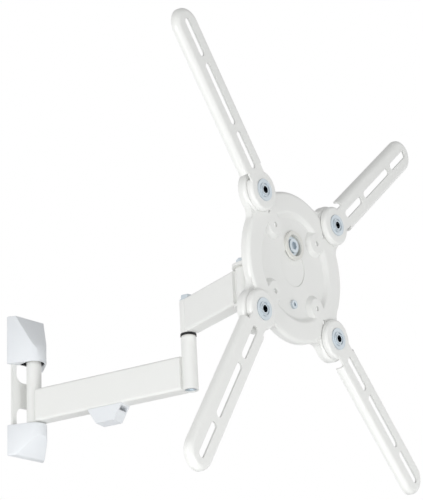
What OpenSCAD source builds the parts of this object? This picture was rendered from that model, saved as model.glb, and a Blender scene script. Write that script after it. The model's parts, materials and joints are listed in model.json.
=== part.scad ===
// Cantilever screen mount: a wall bracket under two plastic caps, a long lower arm, a short
// upper arm set above it, a swivel and tilt head, and a pressed round plate that carries four
// slotted adapter arms. Millimetres. The wall is the plane y = 0 and the screen side is -y.
// The origin lies on the wall, midway between the ends of the two caps, below the wall pivot.

/* [Pose] */
// Turn of the lower arm from straight out, towards +x
lower_arm_turn = 16.1; // [-60:0.1:60]
// Turn of the upper arm against the lower arm
elbow_turn = -26.4; // [-90:0.1:60]
// Turn of the head against the upper arm
head_turn = 15.3; // [-40:0.1:40]
// Forward lean of the plate
tilt_turn = 4.6; // [-5:0.1:12]

/* [Wall bracket] */
// Width of the steel wall plate
bracket_w = 42; // [38:0.5:46]
// Height of the steel wall plate
bracket_h = 164; // [156:1:168]
// Thickness of the wall plate
bracket_t = 3; // [2:0.5:4]
// Distance of the wall pivot from the wall
pivot_reach = 17.6; // [16.5:0.1:20]
// Height of the solid bridge between the two windows
bridge_h = 31; // [24:1:36]
// Width of each window in the wall plate
window_w = 30; // [22:1:32]
// Height of each window
window_h = 28; // [20:1:30]
// Corner radius of a window
window_r = 10; // [4:1:11]
// Corner radius of the wall plate
bracket_r = 6; // [3:1:8]
// Thickness of the two pivot lugs
lug_t = 5; // [4:0.5:6]
// Radius of the round end of a pivot lug
lug_r = 12.5; // [11:0.5:14]
// Diameter of the four wall fixing holes
wall_hole_d = 8; // [6:0.5:9]
// Distance between the two columns of wall holes
wall_hole_dx = 25; // [20:1:27]
// Distance between the upper and lower wall holes
wall_hole_dz = 140; // [134:1:144]

/* [Caps] */
// Width of both caps
cap_w = 54; // [50:1:58]
// Depth of the flat sided part of a cap, next to the wall
cap_side = 10; // [7:0.5:12]
// Height of the lower edge of the upper cap
upper_cap_z = 29; // [28.5:0.5:30]
// Height of the upper cap at the wall
upper_cap_h = 57.7; // [54:0.1:62]
// Height of the upper cap at its front
upper_cap_front = 17; // [14:0.5:24]
// Height of the upper edge of the lower cap
lower_cap_z = -48.3; // [-49:0.1:-48]
// Height of the lower cap at the wall
lower_cap_h = 38.5; // [37:0.1:44]
// Height of the lower cap at its front
lower_cap_front = 14; // [13.5:0.5:24]
// Wall of the caps
cap_t = 2.2; // [1.5:0.1:2.6]

/* [Arms] */
// Height of the arm tube
tube_h = 40; // [36:1:42]
// Width of the arm tube
tube_w = 20; // [19:0.5:22]
// Wall of the arm tube
tube_t = 1.8; // [1.2:0.1:2.2]
// Corner radius of the arm tube
tube_r = 3; // [2.5:0.5:4]
// Outer diameter of the pivot barrels
barrel_d = 18; // [17.5:0.5:19]
// Bore of the pivot barrels
barrel_bore = 14.4; // [13:0.1:14.6]
// Length of the lower arm between its pivots
lower_arm_len = 212; // [170:1:260]
// Length of the upper arm between its pivots
upper_arm_len = 110; // [100:1:200]
// Height of the lower face of the lower arm
lower_arm_z = -47.5; // [-47.6:0.1:-47.2]
// Length of the barrel at the elbow
elbow_barrel_h = 63; // [60:0.5:66]
// Gap between the elbow barrel and the upper arm
elbow_gap = 4.5; // [4:0.1:6]
// Distance of a tube's closed end from its pivot
tube_start = 8; // [6.5:0.5:8.5]
// Thickness of the closed ends of a tube
tube_end_t = 3; // [2:0.5:5]

/* [Pivot hardware] */
// Shank of the arm pivot bolts
pivot_d = 8; // [7:0.5:8]
// Width across flats of the bolt heads and nuts
pivot_af = 13; // [12:0.5:14]
// Height of the bolt heads
pivot_head_h = 5.3; // [4:0.1:6]
// Height of the nuts
pivot_nut_h = 6.5; // [5:0.1:8]
// Thickness of the steel washers
washer_t = 1.6; // [1:0.1:2]
// Diameter of the steel washers
washer_d = 18; // [16:0.5:20]
// Flange of the plastic bushes
bush_flange_t = 1.5; // [1:0.1:2]
// Length of a bush inside its barrel
bush_len = 12; // [8:1:16]
// Height of the sleeve nut inside the elbow barrel
elbow_nut_h = 8.7; // [7:0.1:12]
// Depth of that nut inside the barrel
elbow_nut_in = 1; // [0.5:0.1:2]

/* [Cable clip] */
// Length of the clip at the arm
clip_top_len = 46; // [40:1:52]
// Length of the clip at its lower face
clip_low_len = 24; // [18:1:30]
// Depth of the clip below the arm
clip_depth = 18.5; // [14:0.5:24]
// Wall of the clip
clip_t = 2; // [1.5:0.1:2.5]
// Distance of the clip's middle from the wall pivot
clip_at = 103; // [80:1:125]
// Height of the windows in the clip's ends
clip_window_h = 5; // [3:0.5:8]
// Diameter of the pegs that hold the clip
clip_peg_d = 5; // [3:0.5:6]

/* [Head] */
// Sheet thickness of the swivel yoke and the tilt bracket
head_t = 3.5; // [3:0.25:4]
// Distance from the swivel axis to the tilt axis
tilt_reach = 34; // [33:0.5:38]
// Distance from the tilt axis to the face of the plate
plate_reach = 38; // [37:0.5:44]
// Height of the plate centre above the tilt axis
plate_rise = 5; // [3:0.5:6]
// Distance between the outer faces of the yoke's tilt ears
yoke_w = 32; // [30:1:34]
// Radius of the tilt ears
tilt_ear_r = 12; // [10.5:0.5:13]
// Thickness of the friction discs beside the tilt ears
disc_t = 0.8; // [0.6:0.1:1.2]
// Height of the tilt bracket's base
base_h = 92; // [90:1:96]
// Corner radius of the tilt bracket's base
base_r = 8; // [4:1:10]

/* [Plate] */
// Radius of the round plate
plate_r = 84; // [80:0.5:88]
// Sheet thickness of the plate
plate_t = 2.5; // [2:0.1:3]
// Depth of the turned back edge
plate_depth = 10; // [9:0.5:12]
// Rounding of the plate's edge
plate_edge_r = 4.5; // [3.5:0.5:5]
// Distance of an arm pivot from the plate centre, across and up
ear_pitch = 66.25; // [64:0.25:68]
// Radius of the ears around the arm pivots
ear_r = 24; // [22:0.5:26]
// Radius of the blend between ear and plate
ear_blend = 14; // [8:1:20]
// Radius of the pressed dish in the plate
dish_r = 62; // [58:0.5:64]
// Depth of the dish
dish_depth = 5; // [4:0.25:5.5]
// Width of the slope around the dish
dish_slope = 7; // [5:0.5:9]
// Small screen hole pitch
vesa_small = 75; // [75:75]
// Large screen hole pitch
vesa_large = 100; // [100:100]
// Diameter of the screen holes
vesa_hole_d = 5.5; // [4.5:0.1:6]
// Radius of the raised lobe around a small pitch hole
lobe_r = 11; // [9:0.5:12]
// Height of the level pivot above the plate centre
level_rise = 25; // [24:0.5:26]
// Distance of the level lock screw below the plate centre
lock_drop = 42; // [40:0.5:43]
// Shank of the lock screw
lock_d = 5; // [4:0.5:5]
// Diameter of the lock screw's head
lock_head_d = 9.5; // [8:0.5:10]
// Height of the lock screw's head
lock_head_h = 2.4; // [1.6:0.1:3]
// Radius of the ring pressed around the plate centre
ring_r = 21; // [18:0.5:22]
// Depth of that ring
ring_depth = 1; // [0.5:0.1:1.2]
// Radius of the plastic cup at the level pivot
cup_r = 16; // [15:0.5:17]
// Diameter of the cup where it passes through the plate
cup_body_d = 27; // [25:0.5:28]
// Height of the cup's rim above the dish
cup_rim_h = 3; // [2:0.25:4]
// Wall of the cup
cup_t = 1.5; // [1:0.1:1.8]
// Depth of the cup's underside below the plate face
cup_drop = 8.5; // [8.2:0.1:9]
// Shank of the level pivot bolt
level_d = 10; // [8:0.5:10]
// Thickness of the disc behind the cup
level_disc_t = 1.5; // [1:0.1:2]

/* [Adapter arms] */
// Distance from an arm's pivot to its tip
adapter_len = 211; // [205:1:220]
// Width of an arm over its turned edges
adapter_w = 38; // [36:0.5:42]
// Depth of an arm's turned edges
adapter_depth = 8.5; // [8:0.25:10]
// Rounding of an arm's shoulders
adapter_round = 6; // [4:0.5:7]
// Sheet thickness of an arm
adapter_t = 2.2; // [1.8:0.1:2.5]
// Radius of the cup at an arm's root
root_r = 22; // [21:0.5:23]
// Height of an arm's face above the plate face
adapter_rise = 6.8; // [6.4:0.1:7.2]
// Gap between an arm's root and the plate, for a washer under a screen bolt
root_gap = 0.6; // [0.5:0.1:1.2]
// Outer diameter of the spacer under an arm's root
spacer_d = 27; // [24:0.5:27.5]
// Width of the slots
slot_w = 8.5; // [6:0.25:9]
// Start of the first slot from the pivot
slot_start = 25.8; // [24:0.1:28]
// Length of the two outer slots
slot_short = 43.4; // [36:0.1:44]
// Length of the middle slot
slot_long = 70.9; // [64:0.1:71]
// Bridge between two slots
slot_bridge = 8; // [7:0.1:9]
// Angle of the upper left arm
angle_ul = 131.8; // [90:0.1:180]
// Angle of the upper right arm
angle_ur = 43.7; // [0:0.1:90]
// Angle of the lower left arm
angle_ll = 240.4; // [180:0.1:270]
// Angle of the lower right arm
angle_lr = 318.5; // [270:0.1:360]
// Diameter of the flange of an arm pivot screw
screw_flange_d = 24; // [20:0.5:26]
// Diameter of the raised ring of an arm pivot screw
screw_ring_d = 16; // [14:0.5:18]
// Width of the hexagon socket of an arm pivot screw
screw_socket = 7; // [5:0.5:7]
// Depth of the hexagon socket
screw_socket_depth = 5; // [3:0.5:6]
// Shank of an arm pivot screw
screw_shank_d = 10; // [9:0.5:10]

/* [Hidden] */
$fn = 64;

// Clearances: running is the radial play of a pin, slip the play between faces that turn
running = 0.05;
slip = 0.3;
eps = 0.01;

paint = [0.90, 0.91, 0.89];
cap_plastic = [0.86, 0.89, 0.91];
zinc = [0.66, 0.70, 0.76];
nylon = [0.93, 0.93, 0.90];
black_rubber = [0.08, 0.08, 0.08];

cap_depth = cap_side + cap_w / 2;
arm_bore = pivot_d + 2 * running;
screw_bore = screw_shank_d + 2 * running;
level_bore = level_d + 2 * running;

wall_barrel_top = upper_cap_z - bush_flange_t;
upper_lug_z = wall_barrel_top + bush_flange_t + slip;
lower_lug_z = lower_arm_z - bush_flange_t - slip - lug_t;

upper_arm_z = lower_arm_z + elbow_barrel_h + elbow_gap;
upper_arm_top = upper_arm_z + tube_h;
tilt_z = upper_arm_z + tube_h / 2;

yoke_top = upper_arm_top + bush_flange_t + slip;
yoke_low = upper_arm_z - bush_flange_t - slip;
yoke_web_y = 14;

ear_in = yoke_w / 2 + disc_t + slip / 2;
base_front = plate_reach - cup_drop - level_disc_t - 0.2;
base_w = 2 * (ear_in + head_t);

dish_floor = -dish_depth;
cup_floor = -cup_drop;

// Frames that follow the joints, from the wall outwards
module at_lower_arm() {
    translate([0, -pivot_reach, 0]) rotate([0, 0, lower_arm_turn]) children();
}
module at_upper_arm() {
    at_lower_arm() translate([0, -lower_arm_len, 0]) rotate([0, 0, elbow_turn]) children();
}
module at_head() {
    at_upper_arm() translate([0, -upper_arm_len, 0]) rotate([0, 0, head_turn]) children();
}
module at_tilt() {
    at_head() translate([0, -tilt_reach, tilt_z]) rotate([tilt_turn, 0, 0]) children();
}
// Plate frame: x across, y up and z out of the plate's face
module at_plate() {
    at_tilt() translate([0, -plate_reach, plate_rise]) rotate([90, 0, 0]) children();
}
module at_arm_pivots() {
    for (sx = [-1, 1], sy = [-1, 1]) translate([sx * ear_pitch, sy * ear_pitch, 0]) children();
}

// Flat shapes
module rounded_rect(w, h, r) {
    square([w - 2 * r, h], center = true);
    square([w, h - 2 * r], center = true);
    for (sx = [-1, 1], sy = [-1, 1])
        translate([sx * (w / 2 - r), sy * (h / 2 - r)]) circle(r = r);
}
module stadium(len, w) {
    translate([w / 2, -w / 2]) square([len - w, w]);
    for (x = [w / 2, len - w / 2]) translate([x, 0]) circle(d = w);
}

// Hardware, with its axis on z and the seat of the head at z = 0
module hex_bolt(d, len, af, head_h) {
    cylinder(h = head_h, d = af / cos(30), $fn = 6);
    translate([0, 0, -len]) cylinder(h = len + eps, d = d);
}
module hex_nut(d, af, h) {
    difference() {
        cylinder(h = h, d = af / cos(30), $fn = 6);
        translate([0, 0, -1]) cylinder(h = h + 2, d = d);
    }
}
module ring(outer_d, inner_d, h) {
    difference() {
        cylinder(h = h, d = outer_d);
        translate([0, 0, -1]) cylinder(h = h + 2, d = inner_d);
    }
}
// Flanged bush that enters a barrel downwards from its upper end
module flanged_bush(flange_d) {
    difference() {
        union() {
            cylinder(h = bush_flange_t, d = flange_d);
            translate([0, 0, -bush_len]) cylinder(h = bush_len + eps, d = barrel_bore - 2 * running);
        }
        translate([0, 0, -bush_len - 1]) cylinder(h = bush_len + bush_flange_t + 2, d = arm_bore);
    }
}

module wall_lug(z) {
    translate([0, 0, z]) difference() {
        linear_extrude(lug_t) {
            translate([0, -pivot_reach]) circle(r = lug_r);
            translate([-lug_r, -pivot_reach]) square([2 * lug_r, pivot_reach - eps]);
        }
        translate([0, -pivot_reach, -1]) cylinder(h = lug_t + 2, d = arm_bore);
    }
}
module wall_bracket() {
    window_z = (upper_cap_z + lower_cap_z) / 2;
    color(paint) {
        difference() {
            rotate([90, 0, 0])
                linear_extrude(bracket_t) difference() {
                    rounded_rect(bracket_w, bracket_h, bracket_r);
                    for (s = [-1, 1])
                        translate([0, window_z + s * (bridge_h + window_h) / 2])
                            rounded_rect(window_w, window_h, window_r);
                }
            for (sx = [-1, 1], sz = [-1, 1])
                translate([sx * wall_hole_dx / 2, 1, sz * wall_hole_dz / 2])
                    rotate([90, 0, 0]) cylinder(h = bracket_t + 2, d = wall_hole_d);
        }
        wall_lug(upper_lug_z);
        wall_lug(lower_lug_z);
    }
}

// Cap outline in plan: straight sides at the wall and a round front
module cap_plan(inset) {
    intersection() {
        union() {
            translate([-cap_w / 2 + inset, -cap_side]) square([cap_w - 2 * inset, cap_side + 5]);
            translate([0, -cap_side]) circle(r = cap_w / 2 - inset);
        }
        translate([-cap_w, -2 * cap_w]) square([2 * cap_w, 2 * cap_w + (inset > 0 ? 5 : 0)]);
    }
}
// Solid of a cap that stands on z = 0, cut by the sloping facet
module cap_solid(h, front, inset) {
    intersection() {
        translate([0, 0, inset]) linear_extrude(h - 2 * inset) cap_plan(inset);
        rotate([90, 0, 90]) translate([0, 0, -cap_w]) linear_extrude(2 * cap_w)
            polygon([
                [6, 0], [6, h - inset], [-cap_side, h - inset],
                [-cap_depth, front - inset], [-cap_depth - 2, front - inset], [-cap_depth - 2, 0]
            ]);
    }
}
module cap_shell(h, front) {
    opening = 2 * (lug_r + slip);
    difference() {
        cap_solid(h, front, 0);
        cap_solid(h, front, cap_t);
        translate([0, 0, -1]) linear_extrude(cap_t + 2) {
            translate([0, -pivot_reach]) circle(d = opening);
            translate([-opening / 2, -pivot_reach]) square([opening, pivot_reach + 1]);
            translate([-bracket_w / 2 - slip, -bracket_t - slip])
                square([bracket_w + 2 * slip, bracket_t + slip + 1]);
        }
    }
}
module upper_cap() {
    color(cap_plastic) translate([0, 0, upper_cap_z]) cap_shell(upper_cap_h, upper_cap_front);
}
module lower_cap() {
    color(cap_plastic) translate([0, 0, lower_cap_z]) mirror([0, 0, 1])
        cap_shell(lower_cap_h, lower_cap_front);
}

module wall_pivot_bolt() {
    seat = upper_lug_z + lug_t + washer_t;
    len = seat - lower_lug_z + washer_t + pivot_nut_h + 1.5;
    color(zinc) translate([0, -pivot_reach, seat]) hex_bolt(pivot_d, len, pivot_af, pivot_head_h);
}
module wall_pivot_nut() {
    color(zinc) translate([0, -pivot_reach, lower_lug_z - washer_t - pivot_nut_h])
        hex_nut(arm_bore, pivot_af, pivot_nut_h);
}
module wall_pivot_washers() {
    color(zinc) for (z = [upper_lug_z + lug_t, lower_lug_z - washer_t])
        translate([0, -pivot_reach, z]) ring(washer_d, arm_bore, washer_t);
}

// Rounded rectangular tube with closed ends, from one pivot to the next, in an arm's frame
module arm_tube(len, z) {
    translate([0, -tube_start, z + tube_h / 2]) rotate([90, 0, 0]) difference() {
        linear_extrude(len - 2 * tube_start) rounded_rect(tube_w, tube_h, tube_r);
        translate([0, 0, tube_end_t]) linear_extrude(len - 2 * tube_start - 2 * tube_end_t)
            rounded_rect(tube_w - 2 * tube_t, tube_h - 2 * tube_t, tube_r - tube_t);
    }
}
// Drain hole from the outer barrel into the tube
module drain_hole(len, z) {
    translate([0, -len, z + tube_h / 2]) rotate([-90, 0, 0])
        cylinder(h = tube_start + tube_end_t + 1, d = 4);
}
module barrel(y, z, h) {
    translate([0, y, z]) cylinder(h = h, d = barrel_d);
}
module barrel_hole(y, z, h, d) {
    translate([0, y, z - 1]) cylinder(h = h + 2, d = d);
}
module lower_arm() {
    color(paint) at_lower_arm() difference() {
        union() {
            arm_tube(lower_arm_len, lower_arm_z);
            barrel(0, lower_arm_z, wall_barrel_top - lower_arm_z);
            barrel(-lower_arm_len, lower_arm_z, elbow_barrel_h);
        }
        barrel_hole(0, lower_arm_z, wall_barrel_top - lower_arm_z, barrel_bore);
        barrel_hole(-lower_arm_len, lower_arm_z, elbow_barrel_h, barrel_bore);
        drain_hole(lower_arm_len, lower_arm_z);
        for (s = [-1, 1]) translate([0, -clip_at + s * clip_top_len / 4, lower_arm_z - 1])
            cylinder(h = tube_t + 2, d = clip_peg_d + 2 * running);
    }
}
module wall_bushes() {
    color(nylon) at_lower_arm() {
        translate([0, 0, wall_barrel_top]) flanged_bush(barrel_d);
        translate([0, 0, lower_arm_z]) mirror([0, 0, 1]) flanged_bush(barrel_d);
    }
}
// The upper bush carries the flange that shows; the lower one sits inside the barrel
module elbow_bushes() {
    color(nylon) at_upper_ring() {
        flanged_bush(barrel_d - 1);
        translate([0, 0, -elbow_barrel_h + elbow_nut_in + elbow_nut_h + slip])
            ring(barrel_bore - 2 * running, arm_bore, bush_len);
    }
}
module at_upper_ring() {
    at_lower_arm() translate([0, -lower_arm_len, lower_arm_z + elbow_barrel_h]) children();
}
module elbow_ring() {
    thick = elbow_gap - bush_flange_t - slip;
    color(black_rubber) at_upper_ring() translate([0, 0, bush_flange_t])
        ring(barrel_d + 0.6, arm_bore, thick);
}
// Closed loop under the lower arm with sloping ends and a window at each end
module cable_clip() {
    half_top = clip_top_len / 2;
    half_low = clip_low_len / 2;
    clip_w = tube_w - 1;
    module side_profile(inset, top) {
        k = (half_top - half_low) / clip_depth;
        polygon([
            [-half_top + inset - k * top, top], [half_top - inset + k * top, top],
            [half_low - inset, -clip_depth + inset], [-half_low + inset, -clip_depth + inset]
        ]);
    }
    color(cap_plastic) at_lower_arm() translate([0, -clip_at, lower_arm_z]) {
        difference() {
            rotate([90, 0, 90]) translate([0, 0, -clip_w / 2]) linear_extrude(clip_w)
                side_profile(0, 0);
            rotate([90, 0, 90]) translate([0, 0, -clip_w / 2 + clip_t])
                linear_extrude(clip_w - 2 * clip_t) side_profile(clip_t, -clip_t);
            translate([-clip_w / 2 + clip_t, -half_top - 5, -clip_t - clip_window_h])
                cube([clip_w - 2 * clip_t, clip_top_len + 10, clip_window_h]);
        }
        for (s = [-1, 1]) translate([0, s * clip_top_len / 4, -clip_t / 2])
            cylinder(h = clip_t / 2 + tube_t + 1.5, d = clip_peg_d);
    }
}

module upper_arm() {
    color(paint) at_upper_arm() difference() {
        union() {
            arm_tube(upper_arm_len, upper_arm_z);
            barrel(0, upper_arm_z, tube_h);
            barrel(-upper_arm_len, upper_arm_z, tube_h);
        }
        drain_hole(upper_arm_len, upper_arm_z);
        barrel_hole(0, upper_arm_z, tube_h, arm_bore);
        barrel_hole(-upper_arm_len, upper_arm_z, tube_h, barrel_bore);
    }
}
module elbow_bolt() {
    seat = upper_arm_top + washer_t;
    color(zinc) at_upper_arm() translate([0, 0, seat])
        hex_bolt(pivot_d, seat - lower_arm_z - elbow_nut_in - 1, pivot_af, pivot_head_h);
}
module elbow_washer() {
    color(zinc) at_upper_arm() translate([0, 0, upper_arm_top]) ring(washer_d - 1, arm_bore, washer_t);
}
// Round sleeve nut with a socket, inside the lower end of the elbow barrel
module elbow_nut() {
    color(zinc) at_upper_arm() translate([0, 0, lower_arm_z + elbow_nut_in]) difference() {
        cylinder(h = elbow_nut_h, d = barrel_bore - 2 * slip);
        translate([0, 0, 1]) cylinder(h = elbow_nut_h, d = pivot_d);
        translate([0, 0, -1]) cylinder(h = 3, d = 6 / cos(30), $fn = 6);
    }
}
module head_bushes() {
    color(nylon) at_upper_arm() translate([0, -upper_arm_len, 0]) {
        translate([0, 0, upper_arm_top]) flanged_bush(barrel_d);
        translate([0, 0, upper_arm_z]) mirror([0, 0, 1]) flanged_bush(barrel_d);
    }
}

module yoke_lug(z) {
    translate([0, 0, z]) linear_extrude(head_t) {
        circle(r = lug_r);
        translate([-lug_r, -yoke_web_y - head_t]) square([2 * lug_r, yoke_web_y + head_t]);
    }
}
module swivel_yoke() {
    ear_x = yoke_w / 2 - head_t;
    color(paint) at_head() difference() {
        union() {
            yoke_lug(yoke_top);
            yoke_lug(yoke_low - head_t);
            translate([-yoke_w / 2, -yoke_web_y - head_t, yoke_low - head_t])
                cube([yoke_w, head_t, yoke_top - yoke_low + 2 * head_t]);
            for (s = [-1, 1]) translate([s > 0 ? ear_x : -yoke_w / 2, 0, tilt_z])
                rotate([90, 0, 90]) linear_extrude(head_t) {
                    translate([-tilt_reach, 0]) circle(r = tilt_ear_r);
                    translate([-tilt_reach, -tilt_ear_r])
                        square([tilt_reach - yoke_web_y, 2 * tilt_ear_r]);
                }
        }
        translate([0, 0, yoke_low - head_t - 1])
            cylinder(h = yoke_top - yoke_low + 2 * head_t + 2, d = arm_bore);
        translate([-yoke_w, -tilt_reach, tilt_z]) rotate([0, 90, 0])
            cylinder(h = 2 * yoke_w, d = arm_bore);
    }
}
module head_bolt() {
    seat = yoke_top + head_t + washer_t;
    len = seat - yoke_low + head_t + washer_t + pivot_nut_h + 1.5;
    color(zinc) at_head() translate([0, 0, seat]) hex_bolt(pivot_d, len, pivot_af, pivot_head_h);
}
module head_nut() {
    color(zinc) at_head() translate([0, 0, yoke_low - head_t - washer_t - pivot_nut_h])
        hex_nut(arm_bore, pivot_af, pivot_nut_h);
}
module head_washers() {
    color(zinc) at_head() for (z = [yoke_top + head_t, yoke_low - head_t - washer_t])
        translate([0, 0, z]) ring(washer_d, arm_bore, washer_t);
}
module tilt_spacer() {
    inner = yoke_w - 2 * head_t - slip;
    color(zinc) at_head() translate([-inner / 2, -tilt_reach, tilt_z]) rotate([0, 90, 0])
        ring(13, arm_bore, inner);
}

// U bracket behind the plate: a flat base and two ears beside the yoke's ears
module tilt_bracket() {
    back = base_front - head_t;
    lock_z = plate_rise - lock_drop;
    lock_arc_r = level_rise + lock_drop;
    color(paint) at_tilt() difference() {
        union() {
            translate([0, -back, (plate_rise + level_rise + lock_z) / 2]) rotate([90, 0, 0])
                linear_extrude(head_t) rounded_rect(base_w, base_h, base_r);
            for (s = [-1, 1]) translate([s > 0 ? ear_in : -ear_in - head_t, 0, 0])
                rotate([90, 0, 90]) linear_extrude(head_t) {
                    circle(r = tilt_ear_r);
                    polygon([
                        [0, tilt_ear_r], [-back - 1, tilt_ear_r + 6],
                        [-back - 1, -tilt_ear_r - 6], [0, -tilt_ear_r]
                    ]);
                }
        }
        translate([-base_w, 0, 0]) rotate([0, 90, 0]) cylinder(h = 2 * base_w, d = arm_bore);
        translate([0, -back + 1, plate_rise + level_rise]) rotate([90, 0, 0]) {
            cylinder(h = head_t + 2, d = level_bore);
            // Arc slot of the level lock
            intersection() {
                difference() {
                    cylinder(h = head_t + 2, r = lock_arc_r + lock_d / 2 + 0.2);
                    translate([0, 0, -1]) cylinder(h = head_t + 4, r = lock_arc_r - lock_d / 2 - 0.2);
                }
                translate([-7.5, -lock_arc_r - 6, 0]) cube([15, 12, head_t + 2]);
            }
        }
    }
}
module tilt_bolt() {
    seat = ear_in + head_t + washer_t;
    color(zinc) at_tilt() rotate([0, 90, 0]) translate([0, 0, seat])
        hex_bolt(pivot_d, 2 * seat + pivot_nut_h + 1, pivot_af, pivot_head_h);
}
module tilt_nut() {
    seat = ear_in + head_t + washer_t;
    color(zinc) at_tilt() rotate([0, 90, 0]) translate([0, 0, -seat - pivot_nut_h])
        hex_nut(arm_bore, pivot_af, pivot_nut_h);
}
// Friction discs between the ears and steel washers outside them
module tilt_discs() {
    color(zinc) at_tilt() rotate([0, 90, 0]) for (s = [-1, 1]) {
        translate([0, 0, s > 0 ? ear_in - disc_t : -ear_in]) ring(2 * tilt_ear_r - 2, arm_bore, disc_t);
        translate([0, 0, s > 0 ? ear_in + head_t : -ear_in - head_t - washer_t])
            ring(washer_d, arm_bore, washer_t);
    }
}

// Low head bolt in the cup; its nut is behind the tilt bracket
module level_bolt() {
    seat = cup_floor + cup_t + slip / 2;
    len = seat + plate_reach - base_front + head_t + 7;
    color(zinc) at_plate() translate([0, level_rise, seat]) difference() {
        union() {
            cylinder(h = 1.4, d = 21);
            cylinder(h = 3.6, d = 16);
            translate([0, 0, -len]) cylinder(h = len + eps, d = level_d);
        }
        translate([0, 0, 0.8]) cylinder(h = 4, d = 8 / cos(30), $fn = 6);
    }
}
module level_nut() {
    color(zinc) at_tilt() translate([0, -base_front + head_t, plate_rise + level_rise])
        rotate([-90, 0, 0]) hex_nut(level_bore, 16, 6);
}
module level_disc() {
    color(nylon) at_tilt() translate([0, -base_front, plate_rise + level_rise])
        rotate([90, 0, 0]) ring(cup_body_d - 1, level_bore, level_disc_t);
}

// Outline of the pressed plate grown by g, as a solid with a rounded upper edge. The blends
// between plate and ears stop short of the rounding, and bite by a hair so nothing is tangent
module plate_block(g, top, low) {
    e = plate_edge_r + g;
    blend = ear_blend - g;
    bite = 0.12;
    ear_far = ear_pitch * sqrt(2);
    a = plate_r + ear_blend - bite;
    b = ear_r + ear_blend - bite;
    along = (a * a - b * b + ear_far * ear_far) / (2 * ear_far);
    aside = sqrt(a * a - along * along);
    module rounded_disc(r, low) {
        rotate_extrude() {
            translate([0, low]) square([r, top - e - low]);
            translate([0, low]) square([r - e, top - low]);
            translate([r - e, top - e]) circle(r = e, $fn = 32);
        }
    }
    rounded_disc(plate_r + g, low);
    at_arm_pivots() rounded_disc(ear_r + g, low - 1);
    for (q = [45:90:315]) rotate([0, 0, q]) translate([0, 0, low + 0.5])
        linear_extrude(top - e / 2 - low - 0.5) difference() {
            polygon([[5, 0], [along, -aside], [ear_far, 0], [along, aside]]);
            for (s = [-1, 1]) translate([along, s * aside]) circle(r = blend);
        }
}
// Room above the dish, with the four lobes left standing; g grows the room
module dish_room(g) {
    low = dish_floor - g;
    inner = dish_r - dish_slope + g;
    outer = dish_r + g;
    lobe_out = lobe_r + dish_slope - 2;
    difference() {
        rotate_extrude() polygon([
            [0, low], [inner, low], [inner + dish_slope * 0.25, low + dish_depth * 0.12],
            [outer - dish_slope * 0.25, -dish_depth * 0.12 - g], [outer, -g], [outer, 1], [0, 1]
        ]);
        for (q = [45:90:315]) rotate([0, 0, q]) translate([vesa_small / sqrt(2), 0, low - 1]) {
            cylinder(h = dish_depth + 1, r1 = lobe_out - g, r2 = lobe_r - g);
            linear_extrude(dish_depth + 1) translate([0, -lobe_r + 1 + g])
                square([dish_r, 2 * lobe_r - 2 - 2 * g]);
        }
    }
}
module vesa_holes(pitch) {
    for (sx = [-1, 1], sy = [-1, 1]) translate([sx * pitch / 2, sy * pitch / 2, -plate_depth])
        cylinder(h = plate_depth + 2, d = vesa_hole_d);
}
module vesa_plate() {
    color(paint) at_plate() difference() {
        plate_block(0, 0, -plate_depth - 2);
        dish_room(0);
        difference() {
            plate_block(-plate_t, -plate_t, -plate_depth - 5);
            dish_room(plate_t);
        }
        // Trims the turned edge to its depth
        translate([0, 0, -plate_depth - 10]) cylinder(h = 10, r = plate_r + 2 * ear_r);
        vesa_holes(vesa_small);
        vesa_holes(vesa_large);
        at_arm_pivots() translate([0, 0, -plate_depth]) cylinder(h = plate_depth + 2, d = screw_bore);
        translate([0, level_rise, -plate_depth]) cylinder(h = plate_depth, d = cup_body_d);
        translate([0, -lock_drop, -plate_depth])
            cylinder(h = plate_depth, d = lock_d + 2 * running);
        translate([0, 0, dish_floor - ring_depth]) cylinder(h = ring_depth + 1, r = ring_r);
    }
}
// Plastic cup that lines the level pivot's hole and hides its edge
module level_cup() {
    body_d = cup_body_d - 2 * running;
    color(nylon) at_plate() translate([0, level_rise, 0]) difference() {
        union() {
            translate([0, 0, dish_floor]) cylinder(h = cup_rim_h, r = cup_r);
            translate([0, 0, cup_floor]) cylinder(h = dish_floor - cup_floor + eps, d = body_d);
        }
        translate([0, 0, cup_floor + cup_t]) cylinder(h = 12, d = body_d - 2 * cup_t);
        translate([0, 0, cup_floor - 1]) cylinder(h = 4, d = level_bore);
    }
}
module lock_screw() {
    len = plate_reach + dish_floor - base_front + head_t + 6;
    color(zinc) at_plate() translate([0, -lock_drop, dish_floor]) difference() {
        union() {
            cylinder(h = lock_head_h, d = lock_head_d);
            translate([0, 0, -len]) cylinder(h = len + eps, d = lock_d);
        }
        translate([0, 0, 0.8]) cylinder(h = 3, d = 4 / cos(30), $fn = 6);
    }
}
module lock_nut() {
    back = -plate_reach + base_front - head_t - slip;
    color(zinc) at_plate() translate([0, -lock_drop, back - 4]) hex_nut(lock_d + 2 * running, 8, 4);
}

module arm_pivot_screws() {
    seat = adapter_rise + 0.1;
    color(zinc) at_plate() at_arm_pivots() translate([0, 0, seat]) difference() {
        union() {
            cylinder(h = 1, d = screw_flange_d);
            cylinder(h = 1.8, d = screw_ring_d);
            translate([0, 0, -seat - plate_t - 7]) cylinder(h = seat + plate_t + 7, d = screw_shank_d);
        }
        translate([0, 0, 0.9]) difference() {
            cylinder(h = 3, d = screw_ring_d - 2.4);
            cylinder(h = 0.6, d = screw_socket / cos(30) + 2.4);
        }
        translate([0, 0, 1.8 - screw_socket_depth])
            cylinder(h = screw_socket_depth + 1, d = screw_socket / cos(30), $fn = 6);
    }
}
module arm_pivot_nuts() {
    color(zinc) at_plate() at_arm_pivots() translate([0, 0, -plate_t - 6])
        hex_nut(screw_bore, 16, 6);
}
module arm_pivot_spacers() {
    color(nylon) at_plate() at_arm_pivots()
        ring(spacer_d, screw_bore, adapter_rise - adapter_t - 0.1);
}

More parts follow.
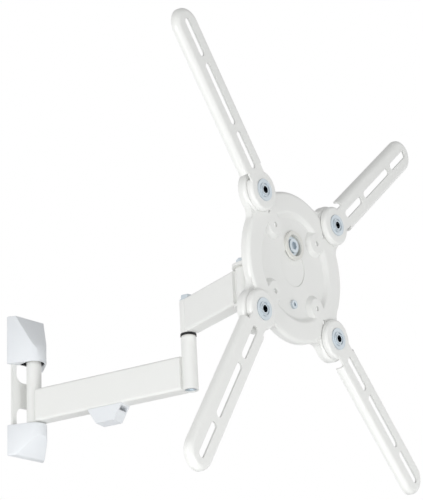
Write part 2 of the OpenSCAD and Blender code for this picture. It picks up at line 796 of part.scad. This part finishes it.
// Half section of a turned edge, from the axis outwards, with its face at y = 0
module edge_section(half_w, depth, r, t) {
    low = -depth - r - 2;
    difference() {
        union() {
            translate([0, low]) square([half_w, -r - low]);
            translate([0, -r - eps]) square([half_w - r, r + eps]);
            translate([half_w - r, -r]) circle(r = r, $fn = 48);
        }
        translate([-1, low - 1]) square([half_w - t + 1, -r - low + 1 + eps]);
        translate([-1, -r - eps]) square([half_w - r + 1, r - t + eps]);
        translate([half_w - r, -r]) circle(r = r - t, $fn = 48);
        // Trims the edge to its depth
        translate([-2, low - 2]) square([half_w + 4, -depth - low + 2]);
    }
}
// Pressed adapter arm along +x, with its pivot at the origin and its face at z = rise
module adapter_arm() {
    tip_r = adapter_w / 2;
    tip_x = adapter_len - tip_r;
    edge_start = root_r + 4;
    root_edge = 3.2;
    slot_mid = slot_start + slot_short + slot_bridge;
    slot_last = slot_mid + slot_long + slot_bridge;
    difference() {
        translate([0, 0, adapter_rise]) union() {
            rotate_extrude() edge_section(root_r, adapter_rise - root_gap, root_edge, adapter_t);
            translate([edge_start, 0, 0]) rotate([90, 0, 90])
                linear_extrude(tip_x - edge_start) {
                    edge_section(tip_r, adapter_depth, adapter_round, adapter_t);
                    mirror([1, 0]) edge_section(tip_r, adapter_depth, adapter_round, adapter_t);
                }
            translate([tip_x, 0, 0]) rotate([0, 0, -90]) rotate_extrude(angle = 180)
                edge_section(tip_r, adapter_depth, adapter_round, adapter_t);
            // Flat neck between the root cup and the turned edges
            translate([0, 0, -adapter_t]) linear_extrude(adapter_t)
                translate([root_r - root_edge - 4, -(tip_r - adapter_round)])
                    square([edge_start - root_r + root_edge + 5, 2 * (tip_r - adapter_round)]);
        }
        // The root cup opens towards the arm
        translate([root_r - root_edge - 1, -(tip_r - adapter_round), -1])
            cube([2 * root_edge + 2, 2 * (tip_r - adapter_round), adapter_rise - adapter_t + 1]);
        cylinder(h = 2 * adapter_rise, d = screw_bore);
        for (p = [[slot_start, slot_short], [slot_mid, slot_long], [slot_last, slot_short]])
            translate([p[0], 0, 0]) linear_extrude(2 * adapter_rise) stadium(p[1], slot_w);
    }
}
module adapter_arm_ul() {
    color(paint) at_plate() translate([-ear_pitch, ear_pitch, 0]) rotate(angle_ul) adapter_arm();
}
module adapter_arm_ur() {
    color(paint) at_plate() translate([ear_pitch, ear_pitch, 0]) rotate(angle_ur) adapter_arm();
}
module adapter_arm_ll() {
    color(paint) at_plate() translate([-ear_pitch, -ear_pitch, 0]) rotate(angle_ll) adapter_arm();
}
module adapter_arm_lr() {
    color(paint) at_plate() translate([ear_pitch, -ear_pitch, 0]) rotate(angle_lr) adapter_arm();
}

wall_bracket();
upper_cap();
lower_cap();
wall_pivot_bolt();
wall_pivot_nut();
wall_pivot_washers();
lower_arm();
wall_bushes();
elbow_bushes();
elbow_ring();
cable_clip();
upper_arm();
elbow_bolt();
elbow_washer();
elbow_nut();
head_bushes();
swivel_yoke();
head_bolt();
head_nut();
head_washers();
tilt_spacer();
tilt_bracket();
tilt_bolt();
tilt_nut();
tilt_discs();
level_bolt();
level_nut();
level_disc();
vesa_plate();
level_cup();
lock_screw();
lock_nut();
arm_pivot_screws();
arm_pivot_nuts();
arm_pivot_spacers();
adapter_arm_ul();
adapter_arm_ur();
adapter_arm_ll();
adapter_arm_lr();
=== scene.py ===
# %% [markdown]
# # A white cantilever wall mount
# The object is a wall bracket under two plastic caps, two rectangular tube arms on pivots, a swivel and
# tilt head, and a pressed round plate with four slotted arms. Its solids come packed from the CAD model,
# already in metres and in the row's frame, so this lesson dresses them: paint, zinc, plastic, weld seams
# and two caps in a truer shape, with a camera and lights. The CAD solids are loaded first and never moved.

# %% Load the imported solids
import json
import math

import bmesh
import bpy
from mathutils import Matrix, Vector


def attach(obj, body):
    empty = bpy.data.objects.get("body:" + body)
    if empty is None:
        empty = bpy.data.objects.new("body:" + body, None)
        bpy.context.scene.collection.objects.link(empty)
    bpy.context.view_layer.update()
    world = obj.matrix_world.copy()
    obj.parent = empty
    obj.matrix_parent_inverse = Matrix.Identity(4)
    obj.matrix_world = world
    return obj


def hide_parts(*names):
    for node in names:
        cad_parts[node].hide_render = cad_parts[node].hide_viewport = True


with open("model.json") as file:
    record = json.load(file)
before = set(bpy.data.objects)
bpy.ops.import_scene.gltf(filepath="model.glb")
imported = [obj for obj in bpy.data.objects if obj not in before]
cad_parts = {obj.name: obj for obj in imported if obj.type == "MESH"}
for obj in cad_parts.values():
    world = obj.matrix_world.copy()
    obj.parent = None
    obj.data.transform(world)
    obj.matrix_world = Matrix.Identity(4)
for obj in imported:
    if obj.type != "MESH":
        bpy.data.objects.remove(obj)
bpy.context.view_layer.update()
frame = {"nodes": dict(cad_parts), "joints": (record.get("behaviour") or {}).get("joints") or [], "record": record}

# %% [markdown]
# ## The camera
# The photograph looks up at the mount from its lower left, through a long lens. The place and the turn
# were worked out from the four arm pivots, the two arm pivots and the upright edges of the wall bracket.
# A camera looks along its own -Z, so its three axes are written as the columns of a matrix.

# %% Camera
CAMERA_PLACE = Vector((-1.216395, -1.459530, -0.628858))
CAMERA_RIGHT = Vector((0.69788, -0.71455, -0.04876))
CAMERA_UP = Vector((-0.24773, -0.30471, 0.91967))
FOCAL_PIXELS = 1648.6
FRAME_PIXELS = 500
SENSOR = 36.0

camera_data = bpy.data.cameras.new("studio_camera")
camera_data.sensor_width = SENSOR
camera_data.lens = FOCAL_PIXELS * SENSOR / FRAME_PIXELS
camera_data.clip_start = 0.05
camera_data.clip_end = 50.0
camera = bpy.data.objects.new("studio_camera", camera_data)
bpy.context.scene.collection.objects.link(camera)
back = CAMERA_RIGHT.cross(CAMERA_UP).normalized()
up = back.cross(CAMERA_RIGHT).normalized()
right = up.cross(back).normalized()
turn = Matrix((right, up, back)).transposed()
camera.matrix_world = Matrix.Translation(CAMERA_PLACE) @ turn.to_4x4()
bpy.context.scene.camera = camera
bpy.context.scene.view_settings.view_transform = "Standard"
print("lens:", round(camera_data.lens, 2), "mm")

# %% [markdown]
# ## Writing shader maths as Python
# Node trees made by hand are hard to read, so a `Wire` stands for one output socket. Adding or
# multiplying wires adds Math nodes. Every other node comes from `Finish.node`, which sets the node's
# own options first and then its sockets, by name or by number, with a value or with a wire.

# %% Wires and finishes
class Wire:
    """One output socket. Arithmetic on it adds Math nodes to its tree."""

    def __init__(self, finish, socket):
        self.finish = finish
        self.socket = socket

    def maths(self, operation, first, second=0.0):
        return self.finish.node("ShaderNodeMath", {"operation": operation}, {0: first, 1: second})

    def __add__(self, other):
        return self.maths("ADD", self, other)

    __radd__ = __add__

    def __sub__(self, other):
        return self.maths("SUBTRACT", self, other)

    def __rsub__(self, other):
        return self.maths("SUBTRACT", other, self)

    def __mul__(self, other):
        return self.maths("MULTIPLY", self, other)

    __rmul__ = __mul__

    def __truediv__(self, other):
        return self.maths("DIVIDE", self, other)

    def __rtruediv__(self, other):
        return self.maths("DIVIDE", other, self)

    def least(self, other):
        return self.maths("MINIMUM", self, other)

    def below(self, other):
        return self.maths("LESS_THAN", self, other)


class Finish:
    """A material under construction, with its Principled shader."""

    def __init__(self, name, **constants):
        self.material = bpy.data.materials.new(name)
        self.material.use_nodes = True
        self.tree = self.material.node_tree
        self.tree.nodes.clear()
        self.shader = self.tree.nodes.new("ShaderNodeBsdfPrincipled")
        output = self.tree.nodes.new("ShaderNodeOutputMaterial")
        self.tree.links.new(self.shader.outputs[0], output.inputs["Surface"])
        for label, value in constants.items():
            self.set(label.replace("_", " "), value)

    def set(self, label, value):
        self.give(self.shader.inputs[label], value)

    def give(self, socket, value):
        if isinstance(value, Wire):
            self.tree.links.new(value.socket, socket)
        else:
            socket.default_value = value

    def node(self, kind, options=None, inputs=None, output=0):
        node = self.tree.nodes.new(kind)
        for label, value in (options or {}).items():
            setattr(node, label, value)
        for label, value in (inputs or {}).items():
            self.give(node.inputs[label], value)
        return Wire(self, node.outputs[output])

    def place(self):
        return self.node("ShaderNodeTexCoord", output="Object")

    def noise(self, scale, detail=2.0, roughness=0.5):
        return self.node("ShaderNodeTexNoise", {}, {
            "Vector": self.place(), "Scale": scale, "Detail": detail, "Roughness": roughness})

    def mix(self, factor, first, second):
        return self.node("ShaderNodeMix", {"data_type": "RGBA"},
                         {0: factor, 6: first, 7: second}, output=2)

    def bump(self, height, strength, distance, normal=None):
        inputs = {"Height": height, "Strength": strength, "Distance": distance}
        if normal:
            inputs["Normal"] = normal
        return self.node("ShaderNodeBump", {}, inputs)


def colour(red, green, blue):
    """A colour as the eye reads it, from 0 to 1, turned into the linear values that sockets hold."""
    def linear(value):
        return value / 12.92 if value <= 0.04045 else ((value + 0.055) / 1.055) ** 2.4
    return (linear(red), linear(green), linear(blue), 1.0)


print("the powder coat's white in linear light:", [round(v, 3) for v in colour(0.945, 0.950, 0.940)])

# %% [markdown]
# ## Powder coat
# The steel parts are powder coated in a glossy, faintly warm white. A baked coat isn't a mirror: it has
# a soft ripple a few millimetres across, called orange peel, and it rounds every edge a little. The
# ripple is a noise in a Bump node, and a Bevel node softens the edges' normals over 0.6 mm.

# %% Powder coat
SOFT_EDGE = 0.0006


def powder_coat():
    coat = Finish("powder_coat_white", Coat_Weight=0.35, Coat_Roughness=0.12, Specular_IOR_Level=0.5)
    ripple = coat.noise(260.0, 2.0, 0.45)
    drift = coat.noise(18.0, 3.0, 0.5)
    coat.set("Base Color", coat.mix(drift, colour(0.945, 0.950, 0.940), colour(0.960, 0.963, 0.955)))
    coat.set("Roughness", 0.26 + 0.10 * drift)
    edge = coat.node("ShaderNodeBevel", {"samples": 4}, {"Radius": SOFT_EDGE})
    coat.set("Normal", coat.bump(ripple, 0.10, 0.00006, edge))
    return coat.material


steel_white = powder_coat()
print("made", steel_white.name)

# %% [markdown]
# ## Moulded plastic
# The two caps and the cable clip are moulded in a cooler, bluish white. The mould was spark eroded, so
# the faces carry a fine even grain and shine less than the painted steel.

# %% Moulded plastic
def moulded_plastic(name, light, dark, roughness, grain):
    plastic = Finish(name, Specular_IOR_Level=0.5)
    speck = plastic.noise(1500.0, 1.0, 0.5)
    flow = plastic.noise(30.0, 2.0, 0.5)
    plastic.set("Base Color", plastic.mix(flow, light, dark))
    plastic.set("Roughness", roughness + 0.08 * speck)
    edge = plastic.node("ShaderNodeBevel", {"samples": 4}, {"Radius": SOFT_EDGE})
    plastic.set("Normal", plastic.bump(speck, grain, 0.00006, edge))
    return plastic.material


cap_white = moulded_plastic("cap_plastic", colour(0.945, 0.958, 0.970), colour(0.930, 0.945, 0.960),
                            roughness=0.40, grain=0.18)
nylon_white = moulded_plastic("nylon_bush", colour(0.93, 0.93, 0.91), colour(0.90, 0.90, 0.88),
                              roughness=0.48, grain=0.15)
# Painted shade: the ring at the elbow is coloured near black, standing in for the shade in the gap between the
# upper arm and the barrel.
elbow_ring_gap_shade = moulded_plastic("black_ring_as_gap_shade", colour(0.10, 0.10, 0.11), colour(0.06, 0.06, 0.07),
                             roughness=0.50, grain=0.25)
print("made", cap_white.name, nylon_white.name, elbow_ring_gap_shade.name)

# %% [markdown]
# ## Zinc plate
# Bolts, nuts and washers are zinc plated: a bright grey with a blue cast, slightly cloudy, with fine
# turning marks. The hexagon sockets of the screws are deep and in shade, so they look almost black. They
# are the same piece as the screw, so the material paints that shade on: it darkens what lies close round
# each screw's own axis.

# %% Zinc plate
joints = {joint["name"]: joint for joint in frame["joints"]}


def joint_axis(name):
    joint = joints[name]
    return Vector(joint["pos_m"]), Vector(joint["axis"]).normalized()


def zinc_plate(name, axes=(), socket_radius=0.0):
    zinc = Finish(name, Metallic=1.0)
    cloud = zinc.noise(90.0, 3.0, 0.6)
    fine = zinc.noise(900.0, 2.0, 0.6)
    tone = zinc.mix(cloud, colour(0.86, 0.89, 0.91), colour(0.78, 0.82, 0.85))
    rough = 0.30 + 0.14 * cloud
    if axes:
        nearest = None
        for centre, along in axes:
            offset = zinc.node("ShaderNodeVectorMath", {"operation": "SUBTRACT"},
                               {0: zinc.place(), 1: centre})
            across = zinc.node("ShaderNodeVectorMath", {"operation": "CROSS_PRODUCT"},
                               {0: offset, 1: along})
            away = zinc.node("ShaderNodeVectorMath", {"operation": "LENGTH"}, {0: across}, output="Value")
            nearest = away if nearest is None else nearest.least(away)
        # Painted shade: within the socket radius of any screw's axis the zinc turns dark blue-grey and duller,
        # standing in for the shade inside the deep hexagon socket.
        painted_socket_shade = nearest.below(socket_radius)
        tone = zinc.mix(painted_socket_shade, tone, colour(0.16, 0.20, 0.24))
        rough = rough + 0.15 * painted_socket_shade
    zinc.set("Base Color", tone)
    zinc.set("Roughness", rough)
    edge = zinc.node("ShaderNodeBevel", {"samples": 4}, {"Radius": 0.0004})
    zinc.set("Normal", zinc.bump(fine, 0.12, 0.00004, edge))
    return zinc.material


ARM_TURNS = ("arm_turn_ul", "arm_turn_ur", "arm_turn_ll", "arm_turn_lr")
SOCKET_RADIUS = 0.0039
zinc_plain = zinc_plate("zinc_plate")
zinc_screws_painted_socket_shade = zinc_plate("zinc_screws_painted_socket_shade", [joint_axis(name) for name in ARM_TURNS], SOCKET_RADIUS)
print("made", zinc_plain.name, zinc_screws_painted_socket_shade.name)

# %% [markdown]
# ## Paint the solids
# Each CAD solid keeps its own mesh and gets one finish. Nothing here changes a shape.

# %% Paint the solids
FINISHES = {
    "painted_steel": steel_white,
    "white_plastic": cap_white,
    "zinc_steel": zinc_plain,
    "nylon": nylon_white,
    # The elbow ring gets the near-black finish, which paints the shade of the gap there.
    "black_rubber": elbow_ring_gap_shade,
}
slot_of = {part["node"]: part["material_slot"] for part in frame["record"]["subparts"]}
for node, piece in frame["nodes"].items():
    finish = zinc_screws_painted_socket_shade if node == "arm_pivot_screws" else FINISHES[slot_of[node]]
    piece.data.materials.clear()
    piece.data.materials.append(finish)
print("painted", len(frame["nodes"]), "solids")

# %% [markdown]
# ## Weld seams
# The arm barrels are welded to the closed ends of the tubes. A machine weld is a row of overlapping
# drops, so a Geometry Nodes tree sets a small drop at even steps along a line, and the same tree makes
# all eight seams. The drops differ a little in size, from a fixed seed.

# %% A tree for weld seams
def new_tree(name, numbers):
    tree = bpy.data.node_groups.new(name, "GeometryNodeTree")
    tree.interface.new_socket("Geometry", in_out="OUTPUT", socket_type="NodeSocketGeometry")
    for label, kind, value in numbers:
        socket = tree.interface.new_socket(label, in_out="INPUT", socket_type=kind)
        if value is not None:
            socket.default_value = value
    return tree


def weld_tree():
    tree = new_tree("weld_seam", (
        ("Start", "NodeSocketVector", (0, 0, 0)), ("End", "NodeSocketVector", (0, 0, 0.04)),
        ("Step", "NodeSocketFloat", 0.0016), ("Drop radius", "NodeSocketFloat", 0.0015),
        ("Finish", "NodeSocketMaterial", None)))
    nodes, link = tree.nodes, tree.links.new
    given = nodes.new("NodeGroupInput")
    line = nodes.new("GeometryNodeCurvePrimitiveLine")
    link(given.outputs["Start"], line.inputs["Start"])
    link(given.outputs["End"], line.inputs["End"])
    steps = nodes.new("GeometryNodeResampleCurve")
    steps.mode = "LENGTH"
    link(line.outputs["Curve"], steps.inputs["Curve"])
    link(given.outputs["Step"], steps.inputs["Length"])
    drop = nodes.new("GeometryNodeMeshUVSphere")
    drop.inputs["Segments"].default_value = 16
    drop.inputs["Rings"].default_value = 8
    link(given.outputs["Drop radius"], drop.inputs["Radius"])
    size = nodes.new("FunctionNodeRandomValue")
    size.data_type = "FLOAT"
    size.inputs[2].default_value = 0.92
    size.inputs[3].default_value = 1.04
    size.inputs["Seed"].default_value = 7
    row = nodes.new("GeometryNodeInstanceOnPoints")
    link(steps.outputs["Curve"], row.inputs["Points"])
    link(drop.outputs["Mesh"], row.inputs["Instance"])
    link(size.outputs[1], row.inputs["Scale"])
    real = nodes.new("GeometryNodeRealizeInstances")
    link(row.outputs["Instances"], real.inputs["Geometry"])
    paint = nodes.new("GeometryNodeSetMaterial")
    link(real.outputs["Geometry"], paint.inputs["Geometry"])
    link(given.outputs["Finish"], paint.inputs["Material"])
    result = nodes.new("NodeGroupOutput")
    link(paint.outputs["Geometry"], result.inputs["Geometry"])
    return tree


def grow(name, tree, place, sizes):
    """Runs a tree with these sizes and returns its result as a plain mesh, set in its place."""
    holder = bpy.data.objects.new(name, bpy.data.meshes.new(name))
    bpy.context.scene.collection.objects.link(holder)
    modifier = holder.modifiers.new("grow", "NODES")
    modifier.node_group = tree
    inputs = {item.name: item.identifier for item in tree.interface.items_tree if item.in_out == "INPUT"}
    for label, value in sizes.items():
        modifier[inputs[label]] = value
    evaluated = holder.evaluated_get(bpy.context.evaluated_depsgraph_get())
    mesh = bpy.data.meshes.new_from_object(evaluated)
    mesh.transform(place)
    bpy.data.objects.remove(holder)
    return mesh


def join(name, meshes, body, finish):
    """One piece from several meshes, riding on a body."""
    parts = []
    for number, mesh in enumerate(meshes):
        part = bpy.data.objects.new("%s_%d" % (name, number), mesh)
        bpy.context.scene.collection.objects.link(part)
        parts.append(part)
    with bpy.context.temp_override(active_object=parts[0], object=parts[0],
                                   selected_objects=parts, selected_editable_objects=parts):
        bpy.ops.object.join()
    piece = parts[0]
    piece.name = name
    piece.data.materials.clear()
    piece.data.materials.append(finish)
    for face in piece.data.polygons:
        face.material_index = 0
        face.use_smooth = True
    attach(piece, body)
    return piece


weld = weld_tree()
print("weld tree:", len(weld.nodes), "nodes")

# %% [markdown]
# ## Frames along the arms
# Sizes repeat the named values of the CAD model, in metres. Each arm has its own frame: the pivot is the
# origin, -Y runs out along the arm and Z is up, so a seam is written once and set in either arm.

# %% Frames
MM = 0.001
TUBE_H = 40 * MM
LOWER_Z = -47.5 * MM
UPPER_Z = 20 * MM
LOWER_LEN = 212 * MM
UPPER_LEN = 110 * MM

wall_pivot = joint_axis("wall_swivel")[0]
elbow_pivot = joint_axis("elbow_swivel")[0]
head_pivot = joint_axis("head_swivel")[0]


def frame_at(origin, z_axis, toward):
    """A frame at a point with its Z along z_axis and its -Y toward another point."""
    z = z_axis.normalized()
    y = -(toward - origin)
    y = (y - z * y.dot(z)).normalized()
    x = y.cross(z)
    return Matrix.Translation(origin) @ Matrix((x, y, z)).transposed().to_4x4()


lower_frame = frame_at(wall_pivot, Vector((0, 0, 1)), elbow_pivot)
upper_frame = frame_at(elbow_pivot, Vector((0, 0, 1)), head_pivot)
print("lower arm turn:", round(math.degrees(lower_frame.to_euler().z), 2),
      "upper arm turn:", round(math.degrees(upper_frame.to_euler().z), 2))

# %% Weld seams
SEAM_X = 4.6 * MM
SEAM_Y = 8.0 * MM
SEAM_END = 1.6 * MM


def arm_seams(name, place, length, low, body):
    seams = []
    for y in (-SEAM_Y, -length + SEAM_Y):
        for x in (-SEAM_X, SEAM_X):
            seams.append(grow(name, weld, place, {
                "Start": (x, y, low + SEAM_END), "End": (x, y, low + TUBE_H - SEAM_END),
                "Step": 1.5 * MM, "Drop radius": 1.3 * MM, "Finish": steel_white}))
    return join(name, seams, body, steel_white)


for piece in (arm_seams("lower_arm_welds", lower_frame, LOWER_LEN, LOWER_Z, "lower_arm"),
              arm_seams("upper_arm_welds", upper_frame, UPPER_LEN, UPPER_Z, "upper_arm")):
    print(piece.name, len(piece.data.polygons), "faces")

# %% [markdown]
# ## The two caps
# Each cap hides a pivot lug and two wall screws. In plan it is a straight back that narrows to a round
# nose about the pivot, and a flat facet slopes from its end down to that nose. The CAD caps have parallel
# sides, so they are replaced here. A mould shape like this is easiest as prisms: one for the outside, one
# for the hollow and one for the opening. Exact booleans join them, and a bevel rounds every edge.

# %% Prisms and booleans
CAP_BACK = 27 * MM
CAP_NOSE = 15.1 * MM
CAP_WALL = 2.2 * MM
CAP_EDGE = 0.9 * MM
SIDE_START = -2 * MM
FACET_START = -10 * MM
TURN_ROOM = 12.8 * MM
PLATE_ROOM = 21.3 * MM
PLATE_FRONT = -3.3 * MM
PAST_BACK = 5 * MM
PIVOT_Y = wall_pivot.y


def cap_outline(inset, back=0.0, steps=40):
    """Plan of a cap: its sides run from the back's corners to where they touch the round nose."""
    nose = CAP_NOSE - inset
    corner = Vector((CAP_BACK - inset, SIDE_START))
    away = Vector((0.0, PIVOT_Y)) - corner
    tangent = math.atan2(away.y, away.x) + math.asin(nose / away.length)
    start = tangent + math.pi / 2
    first = math.atan2(math.sin(start), math.cos(start))
    last = -math.pi - first
    points = [(corner.x, back), (corner.x, corner.y)]
    for step in range(steps + 1):
        angle = first + (last - first) * step / steps
        points.append((nose * math.cos(angle), PIVOT_Y + nose * math.sin(angle)))
    points += [(-corner.x, corner.y), (-corner.x, back)]
    return points


def prism(name, points, low, high, cut=None):
    """A closed prism over a plan outline. A cut is a point and a normal; what lies in front of it goes."""
    shape = bmesh.new()
    base = [shape.verts.new((x, y, low)) for x, y in points]
    shape.faces.new(base)
    grown = bmesh.ops.extrude_face_region(shape, geom=list(shape.faces))
    tops = [item for item in grown["geom"] if isinstance(item, bmesh.types.BMVert)]
    bmesh.ops.translate(shape, verts=tops, vec=(0, 0, high - low))
    if cut:
        everything = list(shape.verts) + list(shape.edges) + list(shape.faces)
        sliced = bmesh.ops.bisect_plane(shape, geom=everything, plane_co=cut[0], plane_no=cut[1],
                                        clear_outer=True)
        rim = [item for item in sliced["geom_cut"] if isinstance(item, bmesh.types.BMEdge)]
        bmesh.ops.contextual_create(shape, geom=rim)
    bmesh.ops.remove_doubles(shape, verts=list(shape.verts), dist=1e-6)
    bmesh.ops.recalc_face_normals(shape, faces=list(shape.faces))
    mesh = bpy.data.meshes.new(name)
    shape.to_mesh(mesh)
    shape.free()
    thing = bpy.data.objects.new(name, mesh)
    bpy.context.scene.collection.objects.link(thing)
    return thing


def applied(thing):
    """The object with its modifiers run, as a plain mesh."""
    evaluated = thing.evaluated_get(bpy.context.evaluated_depsgraph_get())
    mesh = bpy.data.meshes.new_from_object(evaluated)
    thing.modifiers.clear()
    thing.data = mesh
    return thing


def carve(thing, tools):
    for tool in tools:
        cutter = thing.modifiers.new("carve", "BOOLEAN")
        cutter.operation = "DIFFERENCE"
        cutter.solver = "EXACT"
        cutter.object = tool
    applied(thing)
    for tool in tools:
        bpy.data.objects.remove(tool)
    return thing


def moulded_cap(name, mouth, end, nose_end):
    """A cap whose open mouth lies at one height and whose facet runs from its end to the nose."""
    grow_to = 1.0 if end > mouth else -1.0
    front = PIVOT_Y - CAP_NOSE
    ridge = Vector((0, FACET_START, end))
    down = Vector((0, front, nose_end)) - ridge
    normal = Vector((0, -abs(down.z), grow_to * abs(down.y))).normalized()
    inner_ridge = ridge - normal * CAP_WALL
    low, high = sorted((mouth, end))
    body = prism(name, cap_outline(0.0), low, high, (ridge, normal))
    hollow_low, hollow_high = sorted((mouth + grow_to * CAP_WALL, end - grow_to * CAP_WALL))
    hollow = prism(name + "_hollow", cap_outline(CAP_WALL, back=PAST_BACK), hollow_low, hollow_high,
                   (inner_ridge, normal))
    ring = [(TURN_ROOM * math.cos(a), PIVOT_Y + TURN_ROOM * math.sin(a))
            for a in [-math.pi * step / 32 for step in range(33)]]
    door = [(TURN_ROOM, PAST_BACK)] + ring + [(-TURN_ROOM, PAST_BACK)]
    door_low, door_high = sorted((mouth - grow_to * 3 * MM, mouth + grow_to * 4 * MM))
    opening = prism(name + "_door", door, door_low, door_high)
    corners = [(-PLATE_ROOM, PLATE_FRONT), (PLATE_ROOM, PLATE_FRONT),
               (PLATE_ROOM, PAST_BACK), (-PLATE_ROOM, PAST_BACK)]
    plate_room = prism(name + "_plate_room", corners, door_low, door_high)
    carve(body, [hollow, opening, plate_room])
    soften = body.modifiers.new("soften", "BEVEL")
    soften.width = CAP_EDGE
    soften.segments = 3
    soften.limit_method = "ANGLE"
    soften.angle_limit = math.radians(40)
    applied(body)
    for face in body.data.polygons:
        face.use_smooth = True
    body.data.set_sharp_from_angle(angle=math.radians(35))
    body.data.materials.clear()
    body.data.materials.append(cap_white)
    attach(body, "wall")
    return body


upper_cap = moulded_cap("upper_cap_moulding", 27 * MM, 86.7 * MM, 39.5 * MM)
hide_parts("upper_cap")
lower_cap = moulded_cap("lower_cap_moulding", -49.5 * MM, -86.8 * MM, -64.5 * MM)
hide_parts("lower_cap")
for cap in (upper_cap, lower_cap):
    check = bmesh.new()
    check.from_mesh(cap.data)
    open_edges = sum(1 for edge in check.edges if not edge.is_manifold)
    print(cap.name, len(cap.data.polygons), "faces, volume",
          round(check.calc_volume(signed=True) * 1e6, 2), "cm3, open edges", open_edges)
    check.free()

# %% [markdown]
# ## The floor, the light and the white background
# The photograph is cut out on white and its light comes from the lower left. The world is white for the
# camera, and dimmer for the light that it gives, most of all from overhead, so that faces which look up
# turn grey as they do in the photograph. Three large soft lamps stand low: one at the left for the arms'
# sides, one in front for the plate and one under the arms for their undersides.

# %% Floor
FLOOR_Z = -1.15
FLOOR_HALF = 7.0
floor_mesh = bpy.data.meshes.new("floor")
floor_corners = [(sx * FLOOR_HALF, sy * FLOOR_HALF, FLOOR_Z)
                 for sx, sy in ((-1, -1), (1, -1), (1, 1), (-1, 1))]
floor_mesh.from_pydata(floor_corners, [], [(0, 1, 2, 3)])
floor = bpy.data.objects.new("floor", floor_mesh)
bpy.context.scene.collection.objects.link(floor)
floor_finish = Finish("pale_floor", Base_Color=(0.86, 0.86, 0.86, 1.0), Roughness=0.9)
floor_mesh.materials.append(floor_finish.material)
print("floor at", FLOOR_Z, "m")

# %% Light
AMBIENT_LOW = 0.58
AMBIENT_HIGH = 0.44
GLOSS_HIGH = 0.45

world = bpy.data.worlds.new("studio")
bpy.context.scene.world = world
world.use_nodes = True
world.node_tree.nodes.clear()


def world_node(kind, options=None, inputs=None, output=0):
    node = world.node_tree.nodes.new(kind)
    for label, value in (options or {}).items():
        setattr(node, label, value)
    for label, value in (inputs or {}).items():
        if isinstance(value, bpy.types.NodeSocket):
            world.node_tree.links.new(value, node.inputs[label])
        else:
            node.inputs[label].default_value = value
    return node.outputs[output]


def world_blend(factor, first, second):
    return world_node("ShaderNodeMix", {"data_type": "FLOAT"}, {0: factor, 2: first, 3: second})


looking = world_node("ShaderNodeTexCoord", output="Generated")
height = world_node("ShaderNodeSeparateXYZ", inputs={"Vector": looking}, output="Z")
overhead = world_node("ShaderNodeMapRange", {"interpolation_type": "SMOOTHSTEP"},
                      {"Value": height, "From Min": 0.30, "From Max": 0.85})
ambient = world_blend(overhead, AMBIENT_LOW, AMBIENT_HIGH)
gloss = world_blend(overhead, 1.0, GLOSS_HIGH)
rays = world.node_tree.nodes.new("ShaderNodeLightPath").outputs
level = world_blend(rays["Is Glossy Ray"], ambient, gloss)
level = world_blend(rays["Is Transmission Ray"], level, 1.0)
level = world_blend(rays["Is Camera Ray"], level, 1.0)
sky = world_node("ShaderNodeBackground", inputs={"Color": (1.0, 1.0, 1.0, 1.0), "Strength": level})
world_out = world.node_tree.nodes.new("ShaderNodeOutputWorld")
world.node_tree.links.new(sky, world_out.inputs["Surface"])


def soft_lamp(name, place, target, size, power):
    data = bpy.data.lights.new(name, "AREA")
    data.shape = "SQUARE"
    data.size = size
    data.energy = power
    lamp = bpy.data.objects.new(name, data)
    lamp.location = place
    lamp.rotation_euler = (Vector(target) - Vector(place)).to_track_quat("-Z", "Y").to_euler()
    lamp.visible_camera = False
    bpy.context.scene.collection.objects.link(lamp)
    return lamp


MIDDLE = (0.02, -0.25, 0.0)
soft_lamp("key", (-1.75, -0.60, -0.70), MIDDLE, 0.8, 15.0)
soft_lamp("fill", (0.2, -1.8, -0.95), MIDDLE, 0.8, 10.0)
soft_lamp("bounce", (0.05, -0.40, -1.08), (0.0, -0.25, 0.0), 0.8, 1.5)
